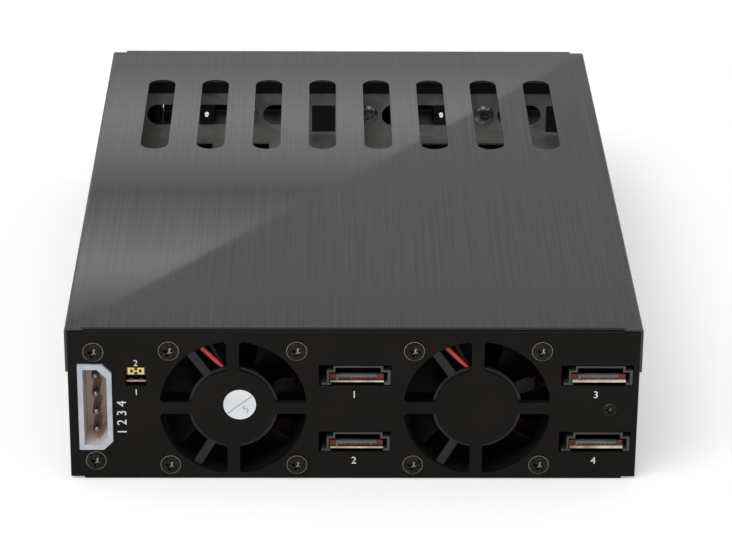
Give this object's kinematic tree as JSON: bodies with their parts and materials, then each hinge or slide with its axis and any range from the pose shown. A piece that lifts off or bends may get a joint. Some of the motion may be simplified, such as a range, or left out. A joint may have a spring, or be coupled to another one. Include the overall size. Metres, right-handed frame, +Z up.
{
  "type": "hot swap drive cage",
  "caption": "Black metal drive cage for a 5.25 inch bay: slotted cover, rear fans, data ports, power inlet, and sliding trays for 2.5 inch drives.",
  "frame": {"origin": "middle of the raised centre panel under the cage, at the middle of its depth", "axes": "+Z up, -Y towards the connector side with the fans, +Y the way the trays slide out"},
  "size_m": [0.146, 0.2038, 0.0423],
  "materials": {
    "black_anodised_aluminium": "brushed, black anodised",
    "black_painted_steel": "satin black powder coat",
    "plated_steel_sheet": "zinc plated sheet",
    "black_screw_steel": "black zinc",
    "bright_steel": "bright zinc",
    "red_board_laminate": "solder mask",
    "black_connector_nylon": "moulded",
    "natural_nylon": "natural moulded nylon",
    "tinned_brass": "tin plated",
    "jumper_cap_plastic": "moulded, gold plated clip",
    "white_paper": "coated paper",
    "red_lead_insulation": "extruded insulation",
    "black_fan_plastic": "moulded",
    "clear_acrylic": "clear moulded acrylic",
    "grey_button_plastic": "moulded",
    "black_bezel_plastic": "fine texture"
  },
  "bodies": {
    "cage": {"chassis_shell": "black_anodised_aluminium", "top_cover": "black_anodised_aluminium", "rear_panel": "black_painted_steel", "centre_divider": "plated_steel_sheet", "left_fan_frame": "black_fan_plastic", "left_fan_leads": "red_lead_insulation", "right_fan_frame": "black_fan_plastic", "right_fan_leads": "red_lead_insulation", "fan_screws": "black_screw_steel", "inlet_screws": "black_screw_steel", "board_screw": "black_screw_steel", "backplane_board": "red_board_laminate", "cover_screws": "black_screw_steel", "lower_left_drive_receptacle": "black_connector_nylon", "lower_right_drive_receptacle": "black_connector_nylon", "upper_left_drive_receptacle": "black_connector_nylon", "upper_right_drive_receptacle": "black_connector_nylon", "data_port_1": "black_connector_nylon", "data_port_2": "black_connector_nylon", "data_port_3": "black_connector_nylon", "data_port_4": "black_connector_nylon", "power_inlet": "natural_nylon", "power_pins": "tinned_brass", "speed_header": "black_connector_nylon", "inspection_sticker": "white_paper"},
    "left_fan_rotor": {"left_fan_rotor": "black_fan_plastic"},
    "right_fan_rotor": {"right_fan_rotor": "black_fan_plastic"},
    "jumper_cap": {"jumper_cap": "jumper_cap_plastic"},
    "lower_left_tray": {"lower_left_tray_sled": "plated_steel_sheet", "lower_left_tray_bezel": "black_bezel_plastic", "lower_left_tray_hinge_pin": "bright_steel", "lower_left_tray_latch_spring": "bright_steel", "lower_left_tray_light_pipe": "clear_acrylic", "lower_left_tray_bezel_screws": "bright_steel"},
    "lower_left_tray_lever": {"lower_left_tray_lever": "black_bezel_plastic"},
    "lower_left_tray_latch_button": {"lower_left_tray_latch_button": "grey_button_plastic"},
    "lower_right_tray": {"lower_right_tray_sled": "plated_steel_sheet", "lower_right_tray_bezel": "black_bezel_plastic", "lower_right_tray_hinge_pin": "bright_steel", "lower_right_tray_latch_spring": "bright_steel", "lower_right_tray_light_pipe": "clear_acrylic", "lower_right_tray_bezel_screws": "bright_steel"},
    "lower_right_tray_lever": {"lower_right_tray_lever": "black_bezel_plastic"},
    "lower_right_tray_latch_button": {"lower_right_tray_latch_button": "grey_button_plastic"},
    "upper_left_tray": {"upper_left_tray_sled": "plated_steel_sheet", "upper_left_tray_bezel": "black_bezel_plastic", "upper_left_tray_hinge_pin": "bright_steel", "upper_left_tray_latch_spring": "bright_steel", "upper_left_tray_light_pipe": "clear_acrylic", "upper_left_tray_bezel_screws": "bright_steel"},
    "upper_left_tray_lever": {"upper_left_tray_lever": "black_bezel_plastic"},
    "upper_left_tray_latch_button": {"upper_left_tray_latch_button": "grey_button_plastic"},
    "upper_right_tray": {"upper_right_tray_sled": "plated_steel_sheet", "upper_right_tray_bezel": "black_bezel_plastic", "upper_right_tray_hinge_pin": "bright_steel", "upper_right_tray_latch_spring": "bright_steel", "upper_right_tray_light_pipe": "clear_acrylic", "upper_right_tray_bezel_screws": "bright_steel"},
    "upper_right_tray_lever": {"upper_right_tray_lever": "black_bezel_plastic"},
    "upper_right_tray_latch_button": {"upper_right_tray_latch_button": "grey_button_plastic"}
  },
  "joints": [
    {"name": "left_fan_spin", "type": "hinge", "parent": "cage", "child": "left_fan_rotor", "pos_m": [-0.0306, -0.0943, 0.0201], "axis": [0, 1, 0], "continuous": true},
    {"name": "right_fan_spin", "type": "hinge", "parent": "cage", "child": "right_fan_rotor", "pos_m": [0.03135, -0.0943, 0.0201], "axis": [0, 1, 0], "continuous": true},
    {"name": "jumper_cap_pull", "type": "slide", "parent": "cage", "child": "jumper_cap", "axis": [0, -1, 0], "range_m": [0, 0.009]},
    {"name": "lower_left_tray_slide", "type": "slide", "parent": "cage", "child": "lower_left_tray", "axis": [0, 1, 0], "range_m": [0, 0.16]},
    {"name": "lower_left_tray_lever_swing", "type": "hinge", "parent": "lower_left_tray", "child": "lower_left_tray_lever", "pos_m": [-0.00645, 0.1001, 0.0117], "axis": [0, 0, -1], "range_deg": [0, 80]},
    {"name": "lower_left_tray_latch_press", "type": "slide", "parent": "lower_left_tray", "child": "lower_left_tray_latch_button", "axis": [0, -1, 0], "range_m": [0, 0.002], "stiffness_N_per_m": 300, "springref_m": -0.001, "deforming": ["lower_left_tray_latch_spring"]},
    {"name": "lower_right_tray_slide", "type": "slide", "parent": "cage", "child": "lower_right_tray", "axis": [0, 1, 0], "range_m": [0, 0.16]},
    {"name": "lower_right_tray_lever_swing", "type": "hinge", "parent": "lower_right_tray", "child": "lower_right_tray_lever", "pos_m": [0.06535, 0.1001, 0.0117], "axis": [0, 0, -1], "range_deg": [0, 80]},
    {"name": "lower_right_tray_latch_press", "type": "slide", "parent": "lower_right_tray", "child": "lower_right_tray_latch_button", "axis": [0, -1, 0], "range_m": [0, 0.002], "stiffness_N_per_m": 300, "springref_m": -0.001, "deforming": ["lower_right_tray_latch_spring"]},
    {"name": "upper_left_tray_slide", "type": "slide", "parent": "cage", "child": "upper_left_tray", "axis": [0, 1, 0], "range_m": [0, 0.16]},
    {"name": "upper_left_tray_lever_swing", "type": "hinge", "parent": "upper_left_tray", "child": "upper_left_tray_lever", "pos_m": [-0.00645, 0.1001, 0.0306], "axis": [0, 0, -1], "range_deg": [0, 80]},
    {"name": "upper_left_tray_latch_press", "type": "slide", "parent": "upper_left_tray", "child": "upper_left_tray_latch_button", "axis": [0, -1, 0], "range_m": [0, 0.002], "stiffness_N_per_m": 300, "springref_m": -0.001, "deforming": ["upper_left_tray_latch_spring"]},
    {"name": "upper_right_tray_slide", "type": "slide", "parent": "cage", "child": "upper_right_tray", "axis": [0, 1, 0], "range_m": [0, 0.16]},
    {"name": "upper_right_tray_lever_swing", "type": "hinge", "parent": "upper_right_tray", "child": "upper_right_tray_lever", "pos_m": [0.06535, 0.1001, 0.0306], "axis": [0, 0, -1], "range_deg": [0, 80]},
    {"name": "upper_right_tray_latch_press", "type": "slide", "parent": "upper_right_tray", "child": "upper_right_tray_latch_button", "axis": [0, -1, 0], "range_m": [0, 0.002], "stiffness_N_per_m": 300, "springref_m": -0.001, "deforming": ["upper_right_tray_latch_spring"]}
  ]
}
